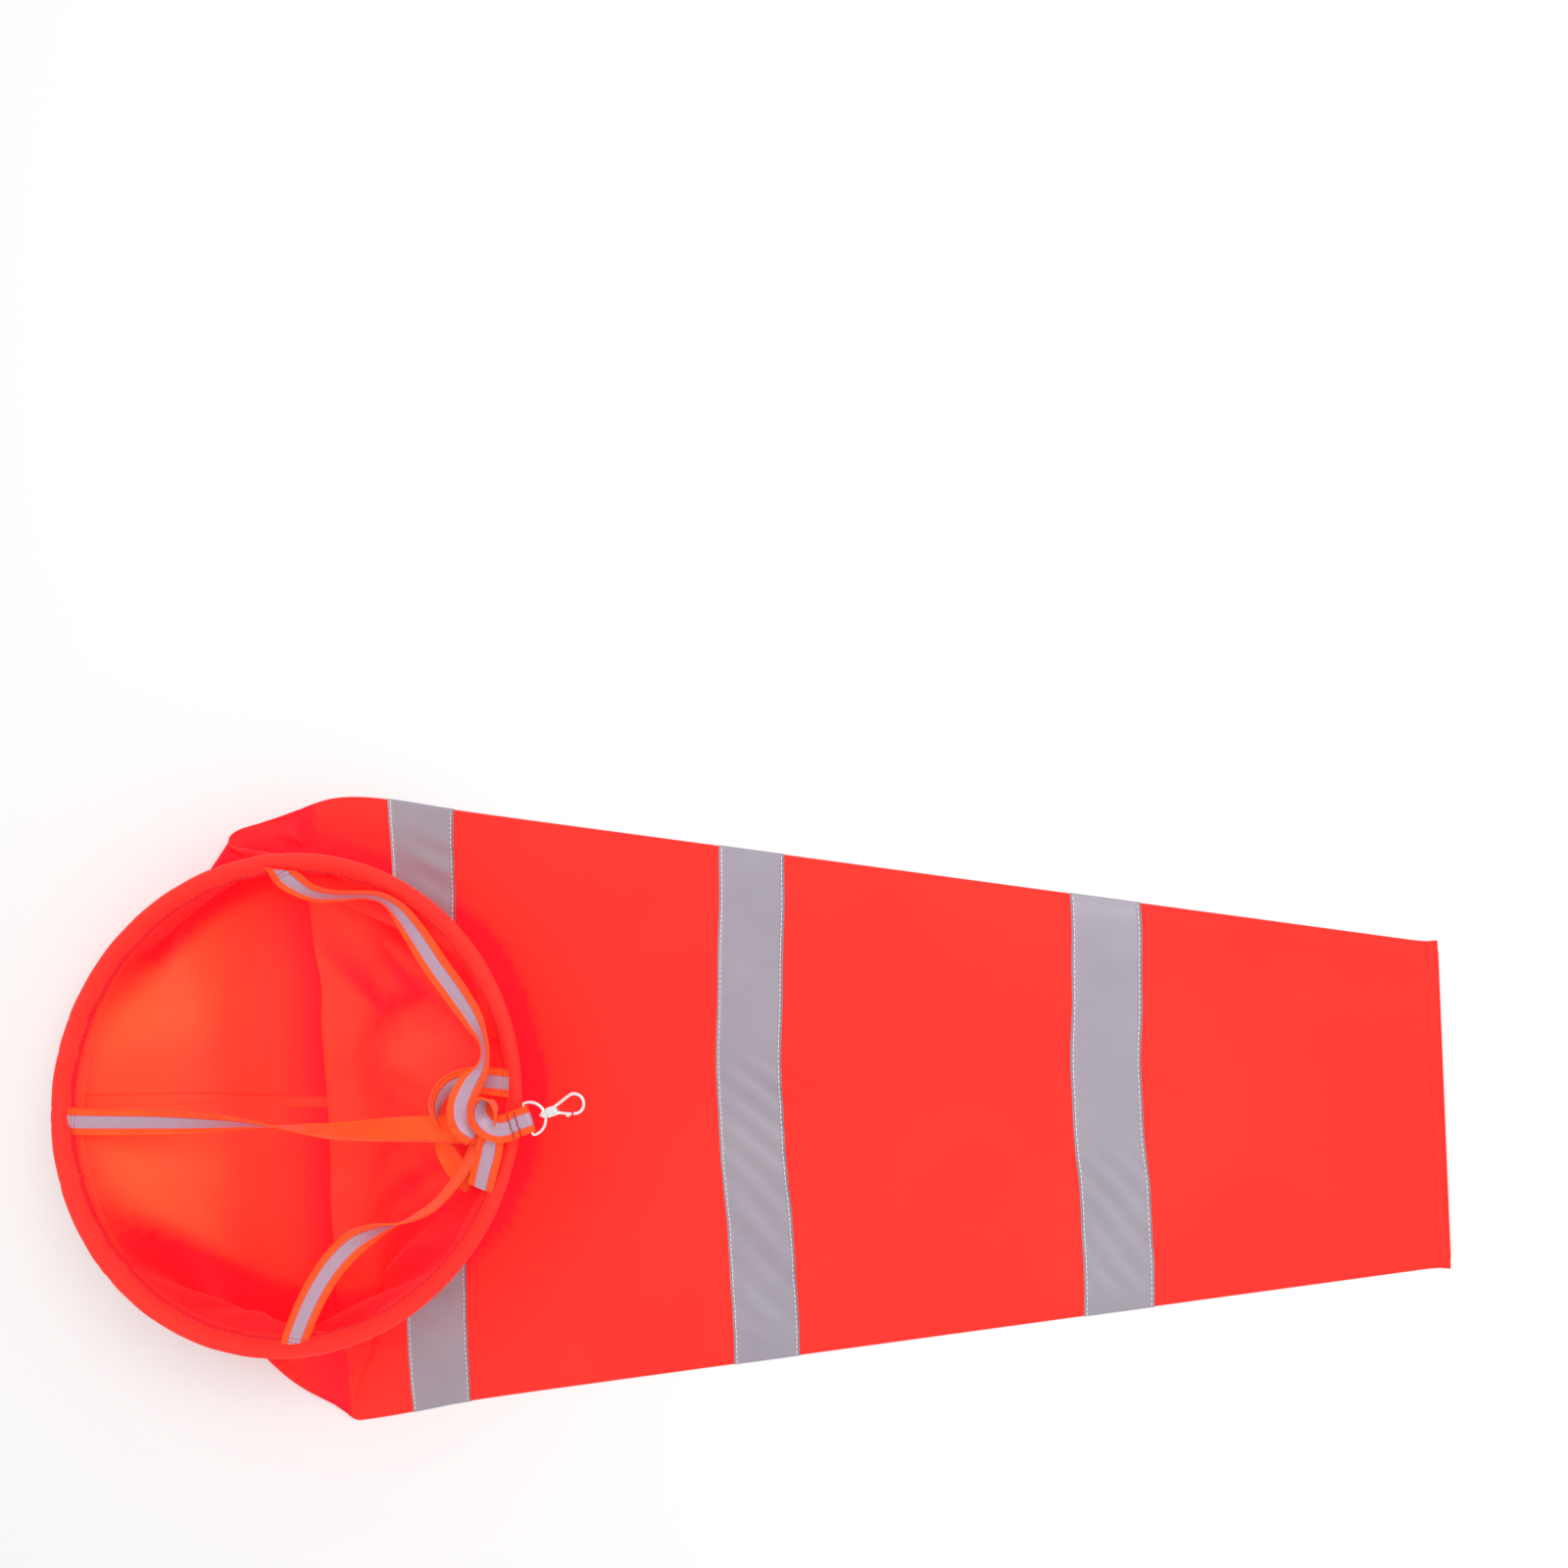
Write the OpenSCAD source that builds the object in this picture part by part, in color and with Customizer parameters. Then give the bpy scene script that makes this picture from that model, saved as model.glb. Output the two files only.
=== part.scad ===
// Windsock laid flat, with its mouth hoop facing up and its bridle gathered on a swivel snap hook.
// X runs along the sleeve with the tail at +X, Z is up, and the sleeve rests on z = 0.

/* [Sleeve] */
// Length of the windsock as it lies, from the hoop's far edge to the tail
lying_l = 1018; // [920:2:1100]
// Flat width of the sleeve at the tail
tail_w = 228; // [200:1:260]
// Growth of the flat width for each millimetre towards the mouth
taper = 0.327; // [0.30:0.001:0.34]
// Thickness of one layer of the sleeve
skin_t = 1.2; // [1.0:0.1:1.5]
// Air gap between the lower and the upper layer
layer_gap = 6; // [5:0.5:7]

/* [Hoop] */
// Diameter of the hoop, on the centre of its wire
hoop_d = 360; // [340:2:370]
// Diameter of the spring wire
wire_d = 4; // [3:0.5:4.5]
// Height of the hoop's centre above the ground
hoop_z = 80; // [74:1:90]
// Lean of the hoop, which lowers its +Y side
hoop_lean = 6.4; // [4:0.2:9]
// Tilt of the hoop, which lifts its far edge
hoop_tilt = 2; // [0:0.5:4]
// Width of the stitched hem below the wire
hem_w = 14; // [10:1:16]

/* [Reflective bands] */
// Width of each reflective band
band_w = 50; // [40:1:55]
// Distance between the centres of two bands
band_pitch = 260.5; // [240:0.5:270]
// Distance from the tail to the centre of the last band
band_last = 227; // [200:1:240]
// Thickness of a band
band_t = 0.4; // [0.3:0.1:0.5]

/* [Bridle] */
// Width of the webbing straps
strap_w = 20; // [18:1:25]
// Thickness of the webbing
strap_t = 1.4; // [1.2:0.1:1.6]
// Width of the reflective stripe on the webbing
stripe_w = 10; // [8:1:12]
// Direction of the gathered end, from +X towards +Y
gather_yaw = 18; // [10:1:24]

/* [Snap hook] */
// Diameter of the hook's wire
hook_wire = 2.4; // [2.0:0.1:2.6]
// Outer width of the D-shaped eye
eye_w = 25.8; // [25:0.2:27]
// Distance from the eye's bar to the tip of the hook
hook_l = 45; // [43:0.5:48]
// Radius of the hook's round end, on the centre of its wire
bow_r = 7; // [6.5:0.1:7.5]

/* [Hidden] */
$fn = 48;

orange = [1.0, 0.23, 0.18];
web_orange = [1.0, 0.33, 0.13];
silver_tape = [0.65, 0.63, 0.67];
nickel = [0.85, 0.84, 0.82];

fit = 0.08;        // radial clearance of a running fit
gap = 0.3;         // clearance between pieces that must not touch
seat = 0.05;       // clearance between layers that are sewn together
stripe_gap = 0.2;  // clearance under a stripe, which bends less closely than its strap
stripe_t = 0.3;

// Heights of the sleeve's layers; the lower layer rests on the ground
low_top = skin_t;
top_z = low_top + layer_gap;
top_top = top_z + skin_t;

tail_x = lying_l / 2;
wire_r = wire_d / 2;
hem_r = wire_r + 2.8;          // outer radius of the rolled hem
tunnel_r = wire_r + 1.2;       // inner radius of the hem's tunnel
hoop_r = hoop_d / 2;
hoop_x = -tail_x + hoop_r + hem_r;
hoop_y = 15;
fold_x = hoop_x + 2;           // where the upper layer turns back under the hoop
tub_r = hoop_r - 14;           // radius of the sleeve's curve on the ground, under the hoop
tub_y = 10;
shoulder_x = -264;             // the sleeve's sides are straight from here to the tail

function half_w(x) = tail_w / 2 + (tail_x - x) * taper / 2;

// Plan of the lying sleeve, moved inwards by i; past its shoulders lie the loose side folds
function plan(i, end = 0) = concat(
    [[tail_x + end, half_w(tail_x + end) - i], [shoulder_x, half_w(shoulder_x) - i]],
    [[-298, 239 - i], [-399 + i, 213 - i], [-414 + i, 178]],
    [for (a = [128 : 8 : 256]) [hoop_x + (tub_r - i) * cos(a), tub_y + (tub_r - i) * sin(a)]],
    [[-341 + i, -182], [-306 + i, i - half_w(shoulder_x)], [shoulder_x, i - half_w(shoulder_x)]],
    [[tail_x + end, -half_w(tail_x + end) + i]]);

// ---- Sleeve ----

// A point of the mouth, from its place in the hoop's own plane
function lean(p) = let (up = p[2] * cos(hoop_lean) - p[1] * sin(hoop_lean)) [
    hoop_x + p[0] * cos(hoop_tilt) + up * sin(hoop_tilt),
    hoop_y + p[1] * cos(hoop_lean) + p[2] * sin(hoop_lean),
    hoop_z - p[0] * sin(hoop_tilt) + up * cos(hoop_tilt)];

// Rings of the mouth's skin: top edge inside and outside, bottom edge inside and outside
mouth_step = 10;
mouth_angles = [0 : mouth_step : 360 - mouth_step];
skin_r = hoop_r - 12.5;
skin_drop = -13;
function low_y(a) = tub_y + tub_r * sin(a);
function mouth_low(a, out) = cos(a) < -0.01
    ? [hoop_x + (tub_r - 1.5 + out * skin_t) * cos(a), tub_y + (tub_r - 1.5 + out * skin_t) * sin(a), 0.5]
    : [fold_x + 0.4, low_y(a), top_top + skin_t - 0.4 - out * skin_t];
mouth_rings = [
    [for (a = mouth_angles) lean([skin_r * cos(a), skin_r * sin(a), skin_drop])],
    [for (a = mouth_angles) lean([(skin_r + 1) * cos(a), (skin_r + 1) * sin(a), skin_drop - 1])],
    [for (a = mouth_angles) mouth_low(a, 1)],
    [for (a = mouth_angles) mouth_low(a, 0)]];

module ring_loft(rings) {
    n = len(rings[0]);
    m = len(rings);
    polyhedron(
        [for (ring = rings) each ring],
        [for (r = [0 : m - 1]) for (i = [0 : n - 1])
            each let (a = r * n + i, b = r * n + (i + 1) % n, c = ((r + 1) % m) * n + (i + 1) % n,
                d = ((r + 1) % m) * n + i) [[a, b, c], [a, c, d]]]);
}

module sock_sleeve() {
    color(orange) {
        difference() {
            linear_extrude(top_top) polygon(plan(0));
            translate([0, 0, low_top])
                linear_extrude(layer_gap) polygon(plan(skin_t, 10));
            // the mouth opens the upper layer over the left half of the hoop
            translate([0, 0, low_top + 1])
                linear_extrude(50) polygon([for (a = [94 : 8 : 266])
                    [min(hoop_x + (tub_r - 1) * cos(a), fold_x), tub_y + (tub_r - 1) * sin(a)]]);
            for (n = [1 : 3]) belt(n);
        }
        ring_loft(mouth_rings);
    }
}

seam_w = 10;
module long_seam() color(orange) translate([-tail_x + 75, -seam_w / 2, low_top])
    cube([lying_l - 87, seam_w, 0.8]);

module in_hoop() translate([hoop_x, hoop_y, hoop_z]) rotate([-hoop_lean, hoop_tilt, 0]) children();

// Rolled hem round the wire, with its sewn allowance hanging inwards
module mouth_hem() color(orange) in_hoop() rotate_extrude($fn = 120) translate([hoop_r, 0]) difference() {
    union() {
        circle(r = hem_r, $fn = 24);
        rotate(232) translate([0, -0.9]) square([hem_w + 1, 1.8]);
    }
    circle(r = tunnel_r, $fn = 24);
}

module hoop_wire() color(nickel) in_hoop() rotate_extrude($fn = 120)
    translate([hoop_r, 0]) circle(r = wire_r, $fn = 24);

ferrule_l = 9;     // degrees of the hoop that the ferrule covers
module hoop_ferrule() color(nickel) in_hoop() rotate([0, 0, 40]) rotate_extrude(angle = ferrule_l, $fn = 120)
    translate([hoop_r, 0]) difference() {
        circle(r = wire_r + 0.8, $fn = 24);
        circle(r = wire_r + seat, $fn = 24);
    }

// Folded hem inside the open tail
tail_hem_w = 8;
tail_hem_t = 0.6;
module tail_hem() color(orange) difference() {
    translate([0, 0, low_top]) linear_extrude(layer_gap) tail_strip(skin_t, 0);
    translate([0, 0, low_top + tail_hem_t]) linear_extrude(layer_gap - 2 * tail_hem_t)
        tail_strip(skin_t + tail_hem_t, 5);
}
module tail_strip(i, past) let (near = tail_x - tail_hem_w - past, end = tail_x + past)
    polygon([[near, half_w(near) - i], [end, half_w(end) - i],
        [end, i - half_w(end)], [near, i - half_w(near)]]);

// ---- Reflective bands, each a belt round the sleeve ----

function band_x(n) = tail_x - band_last - (3 - n) * band_pitch;
module belt_plan(x, w, i) polygon([for (s = [-1, 1]) each [
    [x - s * w / 2, s * (half_w(x - s * w / 2) - i)], [x + s * w / 2, s * (half_w(x + s * w / 2) - i)]]]);
// The belt lies flush in the sleeve's outer face
module belt(n) difference() {
    linear_extrude(top_top) belt_plan(band_x(n), band_w, 0);
    translate([0, 0, band_t]) linear_extrude(top_top - 2 * band_t) belt_plan(band_x(n), band_w + 2, band_t);
}
module band(n) color(silver_tape) belt(n);
module reflective_band_1() band(1);
module reflective_band_2() band(2);
module reflective_band_3() band(3);

// Two rows of thread on the upper face of a band
thread_t = 0.4;
stitch_in = 3.5;
stitch_l = 3.6;
stitch_pitch = 9;
module stitching(n) color("white") for (side = [-1, 1]) {
    x = band_x(n) + side * (band_w / 2 - stitch_in);
    reach = floor((half_w(x) - 4) / stitch_pitch);
    for (k = [-reach : reach])
        translate([x - thread_t / 2, k * stitch_pitch - stitch_l / 2, top_top])
            cube([thread_t, stitch_l, thread_t]);
}
module band_stitching_1() stitching(1);
module band_stitching_2() stitching(2);
module band_stitching_3() stitching(3);

// ---- Bridle straps ----

// A smooth curve through the points of a strap's route
function bend(p, k, t) = let (a = p[max(k - 1, 0)], b = p[k], c = p[k + 1], d = p[min(k + 2, len(p) - 1)])
    0.5 * (2 * b + (c - a) * t + (2 * a - 5 * b + 4 * c - d) * t ^ 2 + (3 * b - a - 3 * c + d) * t ^ 3);
function route(p, steps = 8) = concat(
    [for (k = [0 : len(p) - 2]) for (s = [0 : steps - 1]) bend(p, k, s / steps)], [p[len(p) - 1]]);
function unit(v) = v / norm(v);

// A flat ribbon along a route, w wide, between heights lo and hi over the route
module ribbon(p, w, lo, hi) {
    n = len(p);
    dirs = [for (i = [0 : n - 1]) unit(p[min(i + 1, n - 1)] - p[max(i - 1, 0)])];
    sides = [for (d = dirs) unit(cross([0, 0, 1], d))];
    ups = [for (i = [0 : n - 1]) cross(dirs[i], sides[i])];
    pts = [for (i = [0 : n - 1]) each [
        p[i] - sides[i] * w / 2 + ups[i] * lo, p[i] + sides[i] * w / 2 + ups[i] * lo,
        p[i] + sides[i] * w / 2 + ups[i] * hi, p[i] - sides[i] * w / 2 + ups[i] * hi]];
    polyhedron(pts, concat(
        [[0, 1, 2], [0, 2, 3]], [[4 * n - 4, 4 * n - 2, 4 * n - 3], [4 * n - 4, 4 * n - 1, 4 * n - 2]],
        [for (i = [0 : n - 2]) for (s = [0 : 3]) each let (a = 4 * i + s, b = 4 * i + (s + 1) % 4)
            [[a, a + 4, b + 4], [a, b + 4, b]]]));
}

// Routes from the hem to the knot, as round millimetres
left_route = [[-495, 0, 82], [-473, -1, 78], [-437, -2, 73], [-390, -4, 69], [-334, -7, 66], [-280, -8, 66],
    [-240, -8, 70], [-212, -9, 77], [-194, -11, 81]];
top_route = [[-329, 180, 57], [-318, 171, 56], [-292, 163, 55], [-262, 160, 54], [-240, 152, 54],
    [-216, 126, 57], [-198, 95, 61], [-182, 68, 66], [-177, 44, 73], [-179, 20, 80], [-180, 2, 83]];
bottom_route = [[-307, -152, 91], [-300, -138, 88], [-290, -117, 84], [-275, -94, 79], [-254, -80, 75],
    [-227, -70, 74], [-203, -58, 76], [-190, -42, 79], [-184, -28, 81]];
right_route = [[-152, 27, 70], [-167, 27, 69], [-182, 26, 68], [-196, 19, 71], [-198, 4, 76], [-190, -8, 81]];
tail_route = [[-175, -22, 87], [-176, -36, 86], [-178, -50, 83]];

module strap(p) color(web_orange) ribbon(route(p), strap_w, -strap_t / 2, strap_t / 2);
// The stripe is left off where a strap runs into the knot
function bare(p) = let (r = route(p)) [for (i = [2 : len(r) - 12]) r[i]];
module stripe_on(r) color(silver_tape)
    ribbon(r, stripe_w, strap_t / 2 + stripe_gap, strap_t / 2 + stripe_gap + stripe_t);
module stripe(p) stripe_on(bare(p));
module bridle_strap_left() strap(left_route);
module bridle_strap_top() strap(top_route);
module bridle_strap_bottom() strap(bottom_route);
module bridle_strap_right() strap(right_route);
module strap_tail_end() strap(tail_route);
module strap_stripe_left() stripe(left_route);
module strap_stripe_top() stripe(top_route);
module strap_stripe_bottom() stripe(bottom_route);
module strap_stripe_right() stripe(right_route);
module strap_stripe_tail() let (r = route(tail_route))
    stripe_on([for (i = [11 : len(r) - 1]) r[i]]);

// Short cross seams that hold the straps' ends on the hem
module strap_bartacks() color([0.8, 0.1, 0.08]) for (p = [left_route, top_route, bottom_route, right_route]) {
    d = unit(p[1] - p[0]);
    for (s = [6, 9])
        ribbon([p[0] + d * s, p[0] + d * (s + 1)], strap_w - 3, strap_t / 2 + 0.6, strap_t / 2 + 1);
}

// ---- Gathered end of the bridle, in a frame whose X points out along the hook ----

eye_at = [-131, 2.5, 86];
module at_eye() translate(eye_at) rotate([0, 0, gather_yaw]) children();

gather_l = 42;                  // from the eye's bar back into the knot
gather_w = 19.4;                // the webbing is squeezed to fit the eye
gather_r = hook_wire / 2 + fit + 1.6;
knot_size = [34, 42, 17];
knot_x = -54;                   // centre of the knot

module bridle_knot() color(web_orange) at_eye()
    translate([knot_x, 0, -3.5]) hull() {
        for (x = [-1, 1]) for (y = [-1, 1])
            translate([x * (knot_size[0] / 2 - 5), y * (knot_size[1] / 2 - 5), 0])
                scale([1, 1, knot_size[2] / 10]) sphere(r = 5, $fn = 24);
    }

module gather_loop() color(web_orange) at_eye() rotate([90, 0, 0])
    linear_extrude(gather_w, center = true) difference() {
        union() {
            circle(r = gather_r);
            translate([-gather_l, -gather_r]) square([gather_l, 2 * gather_r]);
        }
        circle(r = hook_wire / 2 + fit);
    }

module gather_stripe() color(silver_tape) at_eye()
    translate([7 - gather_l, -stripe_w / 2, gather_r]) cube([gather_l - 7, stripe_w, stripe_t]);

module gather_stitching() color([0.8, 0.1, 0.08]) at_eye() for (x = [-13, -7.5])
    translate([x, -gather_w / 2, gather_r + stripe_t]) cube([0.8, gather_w, 0.4]);

// ---- Swivel snap hook ----

eye_r = eye_w / 2 - hook_wire / 2;      // radius of the D's bow
eye_corner = 1.8;
bow_x = eye_corner + eye_r;             // where the boss sits on the bow
boss_r = 2.7;
boss_l = 4;
stud_r = 1.3;

module wire_arc(r, from, angle) rotate([0, 0, from]) rotate_extrude(angle = angle)
    translate([r, 0]) circle(r = hook_wire / 2, $fn = 24);

module d_eye() color(nickel) at_eye() difference() {
    union() {
        rotate([90, 0, 0]) cylinder(d = hook_wire, h = 2 * (eye_r - eye_corner), center = true, $fn = 24);
        translate([eye_corner, 0, 0]) wire_arc(eye_r, -90, 180);
        for (s = [-1, 1]) translate([eye_corner, s * (eye_r - eye_corner), 0])
            wire_arc(eye_corner, s > 0 ? 90 : 180, 90);
        translate([bow_x - boss_l / 2, 0, 0]) rotate([0, 90, 0]) cylinder(r = boss_r, h = boss_l);
    }
    translate([bow_x - boss_l, 0, 0]) rotate([0, 90, 0]) cylinder(r = stud_r + fit, h = 2 * boss_l);
}

base_x = bow_x + boss_l / 2 + gap;      // start of the hook's base
base_l = 8;
base_w = 7;
base_t = 5;
slot_t = 2.0;
pivot = [base_x + 5, -1.2];
pivot_r = 1.1;
bow_cx = hook_l - bow_r - hook_wire / 2;
nose_angle = -112;                      // where the bow ends and the gate begins

module swivel_stud() color(nickel) at_eye() {
    translate([bow_x - boss_l / 2 - gap, 0, 0]) rotate([0, 90, 0])
        cylinder(r = stud_r, h = boss_l + 2 * gap);
    translate([bow_x - boss_l / 2 - gap, 0, 0]) rotate([0, -90, 0]) cylinder(r1 = 2.3, r2 = 1.4, h = 1.6);
}

// A straight piece of the hook's wire between two points of its plane
module wire_bar(a, b, r) translate([a[0], a[1], 0]) rotate([0, 0, atan2(b[1] - a[1], b[0] - a[0])])
    rotate([0, 90, 0]) cylinder(r = r, h = norm(b - a), $fn = 24);

spine_angle = 104;                      // where the straight spine runs into the bow
spine_end = [bow_cx + bow_r * cos(spine_angle), bow_r * sin(spine_angle)];
spine_start = [base_x + 5, 2.1];
nose = [bow_cx + bow_r * cos(nose_angle), bow_r * sin(nose_angle)];

module hook_body() color(nickel) at_eye() difference() {
    union() {
        translate([base_x, -base_w / 2, -base_t / 2]) cube([base_l, base_w, base_t]);
        wire_bar(spine_start, spine_end, hook_wire / 2);
        translate([bow_cx, 0, 0]) wire_arc(bow_r, nose_angle, spine_angle - nose_angle);
    }
    // slot for the gate, open towards the hook and to its -Y side
    translate([base_x + 1.6, -base_w, -slot_t / 2]) cube([base_l, base_w + 1.4, slot_t]);
    translate([pivot[0], pivot[1], -base_t]) cylinder(r = pivot_r, h = 2 * base_t, $fn = 24);
    translate([base_x - 1, 0, 0]) rotate([0, 90, 0]) cylinder(r = 0.4, h = 1.2, $fn = 24);
}

gate_t = 1.6;
gate_tip = [nose[0] - 1.6, nose[1] + 0.2];
module gate() color(nickel) at_eye() difference() {
    union() {
        translate([pivot[0], pivot[1], -gate_t / 2]) cylinder(r = 2.0, h = gate_t, $fn = 32);
        translate([pivot[0], pivot[1], 0])
            rotate([0, 0, atan2(gate_tip[1] - pivot[1], gate_tip[0] - pivot[0])]) {
                translate([0, -0.9, -gate_t / 2]) cube([norm(gate_tip - pivot), 1.8, gate_t]);
                translate([9, -2.2, -gate_t / 2]) cube([2.4, 1.6, gate_t]);
            }
    }
    translate([pivot[0], pivot[1], -gate_t]) cylinder(r = pivot_r + fit, h = 2 * gate_t, $fn = 24);
}

module gate_rivet() color([0.75, 0.74, 0.72]) at_eye() translate([pivot[0], pivot[1], -base_t / 2]) {
    cylinder(r = pivot_r, h = base_t, $fn = 24);
    for (z = [-0.6, base_t]) translate([0, 0, z]) cylinder(r = 1.9, h = 0.6, $fn = 24);
}

// Leaf spring behind the gate's round heel
module gate_spring() color([0.7, 0.7, 0.68]) at_eye()
    translate([base_x + 1.8, -2.6, -0.6]) cube([0.5, 3.2, 1.2]);

sock_sleeve();
long_seam();
mouth_hem();
hoop_wire();
hoop_ferrule();
tail_hem();
reflective_band_1();
reflective_band_2();
reflective_band_3();
band_stitching_1();
band_stitching_2();
band_stitching_3();
bridle_strap_left();
bridle_strap_top();
bridle_strap_bottom();
bridle_strap_right();
strap_tail_end();
strap_stripe_left();
strap_stripe_top();
strap_stripe_bottom();
strap_stripe_right();
strap_stripe_tail();
bridle_knot();
gather_loop();
gather_stripe();
gather_stitching();
strap_bartacks();
d_eye();
swivel_stud();
hook_body();
gate();
gate_rivet();
gate_spring();
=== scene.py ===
"""The windsock's looks: cloth, tape, webbing and plated hardware, on the CAD frame.

Points are in millimetres in the CAD frame: X along the sleeve to its tail, Z up from the floor.
The sleeve is a tube of cloth. One grid covers it: i goes round it, j from the mouth to the tail.
"""

import math

import bpy
import numpy as np
from mathutils import Matrix, Vector


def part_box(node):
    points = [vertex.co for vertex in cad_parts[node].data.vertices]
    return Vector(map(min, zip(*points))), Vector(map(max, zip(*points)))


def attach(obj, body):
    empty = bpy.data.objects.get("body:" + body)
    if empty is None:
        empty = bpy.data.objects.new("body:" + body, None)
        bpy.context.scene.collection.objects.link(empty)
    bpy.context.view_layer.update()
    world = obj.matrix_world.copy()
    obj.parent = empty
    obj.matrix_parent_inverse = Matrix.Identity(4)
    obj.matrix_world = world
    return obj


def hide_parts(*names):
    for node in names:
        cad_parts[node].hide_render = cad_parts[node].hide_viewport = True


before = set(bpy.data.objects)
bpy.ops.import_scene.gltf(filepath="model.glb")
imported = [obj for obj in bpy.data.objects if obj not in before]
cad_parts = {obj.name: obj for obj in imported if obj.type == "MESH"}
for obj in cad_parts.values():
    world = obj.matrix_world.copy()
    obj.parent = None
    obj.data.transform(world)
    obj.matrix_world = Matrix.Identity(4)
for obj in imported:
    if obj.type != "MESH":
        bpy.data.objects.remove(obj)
scene = bpy.context.scene
rng = np.random.default_rng(7)


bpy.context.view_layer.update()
MM = 0.001


# ---- Measures, from the frame where it has them ----

def cad_box(name):
    low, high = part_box(name)
    return np.array(low) / MM, np.array(high) / MM


sleeve_low, sleeve_high = cad_box("sock_sleeve")
wire_low, wire_high = cad_box("hoop_wire")
tail_x = sleeve_high[0]
wire_r = 2.0
hoop_at = (wire_low + wire_high) / 2
hoop_r = (wire_high[0] - wire_low[0]) / 2 - wire_r
hoop_lean, hoop_tilt = math.radians(6.4), math.radians(2.0)     # it slopes down to +Y and to +X

cloth_t = 0.5
cut_l = 1018.0          # the sleeve from its mouth's stitch line to the tail, laid flat
tail_w = 228.0
taper = 0.327           # growth of the flat width towards the mouth
stitch_r = hoop_r - 8.0     # where the hem's stitch line runs, in the hoop's plane
stitch_drop = -6.5      # and how far below the wire
shoulder = 773.0        # the sleeve's sides are straight for this far from the tail

strap_w, strap_t = 20.0, 1.3
stripe_w, stripe_t = 10.0, 0.25
stripe_lift = strap_t / 2 + 0.14    # the stripe's middle, over the strap's


def half_w(x):
    return tail_w / 2 + (tail_x - x) * taper / 2


def turned(a, z, angle):
    """A level coordinate and a height, after a turn that lowers the far end."""
    return a * math.cos(angle) + z * math.sin(angle), z * math.cos(angle) - a * math.sin(angle)


def lean(p):
    """From the hoop's own plane into the frame."""
    x, y, z = np.moveaxis(np.asarray(p, float), -1, 0)
    y, z = turned(y, z, hoop_lean)
    x, z = turned(x, z, hoop_tilt)
    return np.stack([x, y, z], -1) + hoop_at


def on_hoop(angle, r, z):
    return lean(np.stack([r * np.cos(angle), r * np.sin(angle), z + 0 * angle], -1))


# ---- Small tools for curves and meshes ----

def unit(v):
    return v / np.maximum(np.linalg.norm(v, axis=-1, keepdims=True), 1e-9)


def smooth(low, high, x):
    t = np.clip((x - low) / (high - low), 0, 1)
    return t * t * (3 - 2 * t)


def through(a, b, c, d, t):
    """A smooth curve from b to c, which a and d lead in and out."""
    square, cube = 2 * a - 5 * b + 4 * c - d, 3 * b - a - 3 * c + d
    return 0.5 * (2 * b + (c - a) * t + square * t ** 2 + cube * t ** 3)


def spline(points, n):
    """n evenly spaced points of a smooth curve. Columns after the third are carried along."""
    p = np.array(points, float)
    p = np.vstack([2 * p[0] - p[1], p, 2 * p[-1] - p[-2]])
    t = np.linspace(0, 1, 24, endpoint=False)[:, None]
    fine = np.vstack([through(a, b, c, d, t) for a, b, c, d in zip(p, p[1:], p[2:], p[3:])] + [p[-2:-1]])
    run = along_line(fine[:, :3])
    at = np.linspace(0, run[-1], n)
    return np.column_stack([np.interp(at, run, fine[:, k]) for k in range(fine.shape[1])])


def faces_normal(grid, around):
    """The normal at each point of a grid of points."""
    di = np.roll(grid, -1, 0) - np.roll(grid, 1, 0) if around else np.gradient(grid, axis=0)
    return unit(np.cross(di, np.gradient(grid, axis=1)))


def along_line(points):
    """How far along a line each of its points is."""
    return np.concatenate([[0], np.cumsum(np.linalg.norm(np.diff(points, axis=0), axis=1))])


def add_mesh(name, points, faces, finish, uv=None):
    """A smooth mesh that rides on the root body. uv has a pair for each corner of each face."""
    mesh = bpy.data.meshes.new(name)
    mesh.from_pydata((points.reshape(-1, 3) * MM).tolist(), [], faces)
    if uv is not None:
        layer = mesh.uv_layers.new(name="cut")
        layer.data.foreach_set("uv", np.asarray(uv, np.float32).ravel())
    mesh.polygons.foreach_set("use_smooth", [True] * len(mesh.polygons))
    mesh.materials.append(finish)
    mesh.update()
    obj = bpy.data.objects.new(name, mesh)
    scene.collection.objects.link(obj)
    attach(obj, "root")
    return obj


def grid_faces(ni, nj, around):
    """Quads of a grid, and the place in the grid of each corner, not wrapped, for the cloth's weave."""
    i, j = np.meshgrid(np.arange(ni if around else ni - 1), np.arange(nj - 1), indexing="ij")
    i, j = i.ravel(), j.ravel()
    place = np.stack([np.stack([i, i + 1, i + 1, i], 1), np.stack([j, j, j + 1, j + 1], 1)], -1)
    return place[..., 0] % ni * nj + place[..., 1], place


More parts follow.
